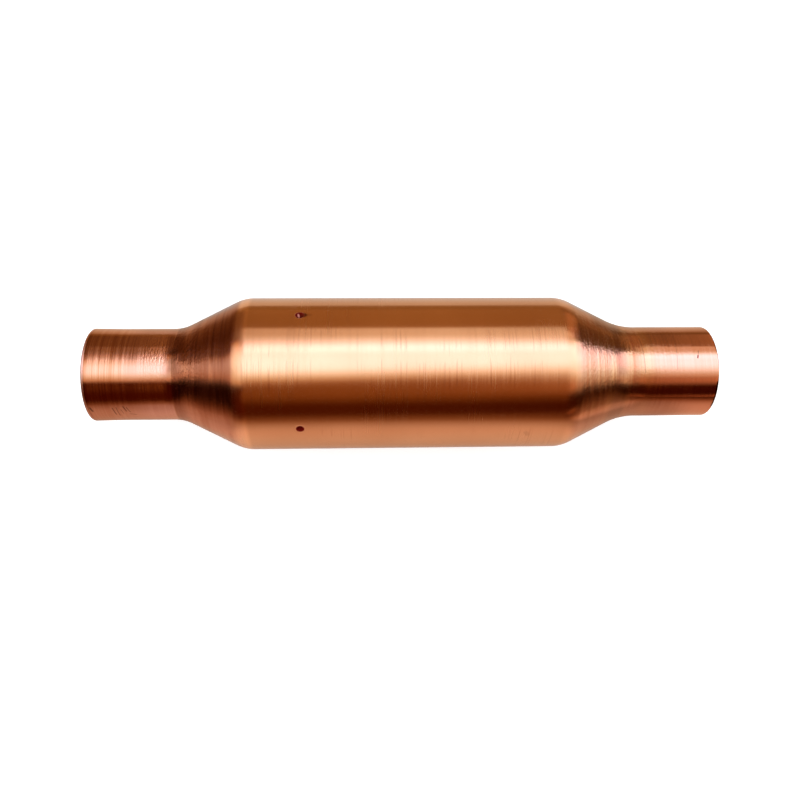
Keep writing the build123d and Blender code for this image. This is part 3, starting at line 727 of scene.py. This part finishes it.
    dark = None
    for x0, a0, x1, a1, width, radius, depth in (
        (47.40, 84.5, 47.24, 91.0, 0.13, 7.5, 0.38),
        (47.22, 90.5, 47.13, 93.5, 0.16, 7.5, 0.97),
        # painted shade: a dark line along part of the outlet rim, on the side towards the camera
        (50.38, 124.0, 50.38, 160.0, 0.26, 7.5, 0.9),
        (-46.35, 155.0, -46.1, 168.0, 0.12, 7.5, 0.7),
        (-45.75, 154.0, -45.6, 171.0, 0.10, 7.5, 0.6),
        (-45.1, 158.0, -44.9, 166.0, 0.10, 7.5, 0.5),
        (-44.65, 152.5, -44.3, 161.0, 0.13, 7.5, 0.7),
        (-44.15, 154.0, -43.75, 163.0, 0.11, 7.5, 0.6),
        (-43.95, 167.0, -43.0, 168.5, 0.12, 7.5, 0.6),
        (-49.80, 154.0, -49.55, 160.0, 0.20, 7.5, 0.8),
        (38.2, 64.0, 38.5, 112.0, 0.10, 7.5, 0.30),
        (43.95, 60.0, 43.7, 108.0, 0.10, 7.5, 0.25),
        (-7.2, 250.0, -4.9, 262.0, 0.14, 12.5, 0.35),
        (8.4, 292.0, 9.6, 286.0, 0.16, 12.5, 0.30),
        (14.2, 30.0, 16.3, 21.0, 0.14, 12.5, 0.30),
        (41.5, 215.0, 43.2, 236.0, 0.12, 7.5, 0.45),
        (-41.0, 310.0, -39.6, 322.0, 0.12, 7.5, 0.45),
    ):
        if a0 > 180:
            a0, a1 = a0 - 360, a1 - 360
        m = t.math("MULTIPLY", mark(x0, a0, x1, a1, width, radius), depth)
        dark = m if dark is None else t.math("MAXIMUM", dark, m)
    bore = t.step(t.math("SQRT", t.math("ADD", t.math("POWER", py, 2.0), t.math("POWER", pz, 2.0))), 0.0070, 0.0068)
    dark = t.mixf(bore, dark, 0.0)
    # a darker patch trails the upper punch mark towards the outlet, in two shades
    faint = mark(-15.2, 63.4, -14.9, 63.5, 0.45, 12.5)
    colour = t.mix(t.math("MULTIPLY", faint, 0.28), colour, rgba(0.30, 0.085, 0.045))
    tail = mark(-16.10, 63.4, -15.85, 63.4, 0.70, 12.5)
    colour = t.mix(t.math("MULTIPLY", tail, 0.85), colour, rgba(0.12, 0.012, 0.005))
    smudge = t.math("MULTIPLY", mark(19.0, 160.0, 19.3, 162.5, 0.55, 12.5), 0.16)
    colour = t.mix(t.math("MAXIMUM", dark, smudge), colour, rgba(0.07, 0.030, 0.018))

    # the sawn and deburred rim of the inlet: a thin matt band and the line behind it
    band = t.math("MULTIPLY", t.step(x, -50.14, -50.22), t.step(x, -50.50, -50.42))
    colour = t.mix(t.step(x, -50.42, -50.50), colour, rgba(0.40, 0.14, 0.07))
    groove = t.math("MULTIPLY", t.step(x, -50.30, -50.20), t.step(x, -49.86, -50.02))
    colour = t.mix(t.math("MULTIPLY", groove, 0.55), colour, rgba(0.40, 0.13, 0.06))
    colour = t.mix(band, colour, rgba(0.84, 0.40, 0.27))

    # roughness: the tool's marks differ from ring to ring
    streak = t.math("MULTIPLY", t.step(fine, 0.47, 0.64), t.step(where, 0.40, 0.62, 0.25, 1.0))
    r_body = t.mixf(streak, 0.21, 0.275)
    r_end = t.mixf(t.math("MULTIPLY", t.step(fine, 0.40, 0.62), t.step(medium, 0.30, 0.60)), 0.175, 0.25)
    rough = t.mixf(ends, r_body, r_end)
    rough = t.mixf(stubs, rough, t.mixf(lines, 0.115, 0.175))
    rough = t.mixf(pit, rough, 0.36)
    rough = t.mixf(band, rough, 0.55)

    # relief, in hundredths of a millimetre: fine brush lines, deeper where the ends were spun, with small dents left by the tool
    necks = t.math("MAXIMUM", t.math("MULTIPLY", t.step(x, -42.6, -39.6), t.step(x, -29.0, -33.0)), t.math("MULTIPLY", t.step(x, 25.5, 28.0), t.step(x, 48.0, 38.0)))
    necks = t.math("MULTIPLY", necks, t.step(flank, -0.50, -0.15, 0.25, 1.0))
    relief = t.math("MULTIPLY", fine, t.mixf(ends, 0.04, t.mixf(stubs, 1.0, 0.65)))
    relief = t.math("ADD", relief, t.math("MULTIPLY", medium, t.math("MULTIPLY_ADD", left_cone, 2.1, t.math("MULTIPLY_ADD", right_cone, 1.3, 0.08))))
    grainy = t.math("MULTIPLY_ADD", dents, t.mixf(stubs, 1.0, 0.30), speck)
    relief = t.math("ADD", relief, t.math("MULTIPLY", grainy, t.math("MULTIPLY", ends, t.mixf(necks, 0.28, t.mixf(left_stub, 2.4, 1.7)))))
    relief = t.math("MULTIPLY", relief, t.mixf(bore, 1.0, 0.12))
    bump_node = t.node("ShaderNodeBump")
    bump_node.inputs["Strength"].default_value = 1.0
    bump_node.inputs["Distance"].default_value = 0.00001
    t.put(bump_node.inputs["Height"], relief)

    tangent = t.node("ShaderNodeTangent", direction_type="RADIAL", axis="X")
    b = t.node("ShaderNodeBsdfPrincipled")
    t.put(b.inputs["Base Color"], colour)
    t.put(b.inputs["Metallic"], t.mixf(pit, 1.0, 0.0))
    b.inputs["Specular IOR Level"].default_value = 0.03
    b.inputs["Specular Tint"].default_value = rgba(1.0, 0.90, 0.77)
    t.put(b.inputs["Roughness"], rough)
    b.inputs["Anisotropic"].default_value = 0.85
    b.inputs["Anisotropic Rotation"].default_value = 0.25
    t.put(b.inputs["Tangent"], tangent.outputs[0])
    t.put(b.inputs["Normal"], bump_node.outputs[0])
    o = t.node("ShaderNodeOutputMaterial")
    t.put(o.inputs["Surface"], b.outputs[0])
    return mat


shell.data.materials.append(copper())
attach(shell, "housing")
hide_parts("body_shell")


# ------------------------------------------------------------------ the cartridge's finishes
def turned(name, low, high, rough=(0.22, 0.34), lines=5.0, strength=0.12, metallic=1.0, aniso=0.6, grain=0.0):
    """A lathe-turned finish: rings along X on round faces, rings of radius on flat ones."""
    mat = bpy.data.materials.new(name)
    mat.use_nodes = True
    t = Tree(mat.node_tree)
    pos = t.node("ShaderNodeTexCoord").outputs["Object"]
    px, py, pz = t.xyz(pos)
    radius = t.math("SQRT", t.math("ADD", t.math("POWER", py, 2.0), t.math("POWER", pz, 2.0)))
    v = t.vec(t.math("MULTIPLY", px, lines * 1000.0), t.math("MULTIPLY", radius, lines * 1000.0), t.math("MULTIPLY", t.math("ADD", py, pz), 60.0))
    ring = t.noise(v, 1.0, 3.0, 0.6)
    cloud = t.noise(pos, 260.0, 3.0, 0.55)
    dust = t.noise(pos, 3500.0, 2.0, 0.6)
    colour = t.mix(t.math("MULTIPLY_ADD", ring, 0.6, t.math("MULTIPLY", cloud, 0.4)), low, high)
    if grain:
        colour = t.mix(t.step(dust, 0.5, 0.75, 0.0, grain), colour, rgba(0.02, 0.02, 0.02))
    height_ = t.math("ADD", t.math("MULTIPLY", ring, 0.7), t.math("MULTIPLY", dust, 0.3))
    bn = t.node("ShaderNodeBump")
    bn.inputs["Strength"].default_value = strength
    bn.inputs["Distance"].default_value = 0.00005
    t.put(bn.inputs["Height"], height_)
    b = t.node("ShaderNodeBsdfPrincipled")
    t.put(b.inputs["Base Color"], colour)
    b.inputs["Metallic"].default_value = metallic
    t.put(b.inputs["Roughness"], t.mixf(ring, rough[0], rough[1]))
    if aniso:
        tangent = t.node("ShaderNodeTangent", direction_type="RADIAL", axis="X")
        b.inputs["Anisotropic"].default_value = aniso
        b.inputs["Anisotropic Rotation"].default_value = 0.25
        t.put(b.inputs["Tangent"], tangent.outputs[0])
    t.put(b.inputs["Normal"], bn.outputs[0])
    o = t.node("ShaderNodeOutputMaterial")
    t.put(o.inputs["Surface"], b.outputs[0])
    return mat


brass = turned("turned_brass", rgba(0.62, 0.43, 0.17), rgba(0.80, 0.60, 0.30))
steel = turned("plated_steel", rgba(0.50, 0.48, 0.45), rgba(0.66, 0.64, 0.60), rough=(0.20, 0.32), lines=7.0)
stainless = turned("pressed_stainless", rgba(0.46, 0.45, 0.44), rgba(0.60, 0.59, 0.57), rough=(0.26, 0.38), lines=2.0, aniso=0.3)
spring = turned("spring_steel", rgba(0.14, 0.13, 0.12), rgba(0.24, 0.225, 0.205), rough=(0.38, 0.5), lines=3.0, aniso=0.0)
ferrite = turned("ferrite", rgba(0.045, 0.045, 0.048), rgba(0.085, 0.084, 0.086), rough=(0.45, 0.6), lines=2.0, metallic=0.0, aniso=0.0, grain=0.5)
rubber = turned("black_rubber", rgba(0.012, 0.012, 0.012), rgba(0.026, 0.026, 0.026), rough=(0.55, 0.7), lines=0.8, metallic=0.0, aniso=0.0)
ptfe = turned("white_fluoropolymer", rgba(0.78, 0.78, 0.75), rgba(0.88, 0.88, 0.86), rough=(0.38, 0.5), lines=4.0, metallic=0.0, aniso=0.0)

for node, mat in {
    "valve_seat": brass,
    "guide_stem": brass,
    "seat_o_ring": rubber,
    "ring_magnet": ferrite,
    "guide_cage": stainless,
    "stem_bush": ptfe,
    "armature_disc": steel,
    "disc_gasket": ptfe,
    "stem_push_nut": spring,
}.items():
    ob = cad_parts[node]
    for s in ob.material_slots:
        s.link = "OBJECT"
        s.material = mat

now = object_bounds()
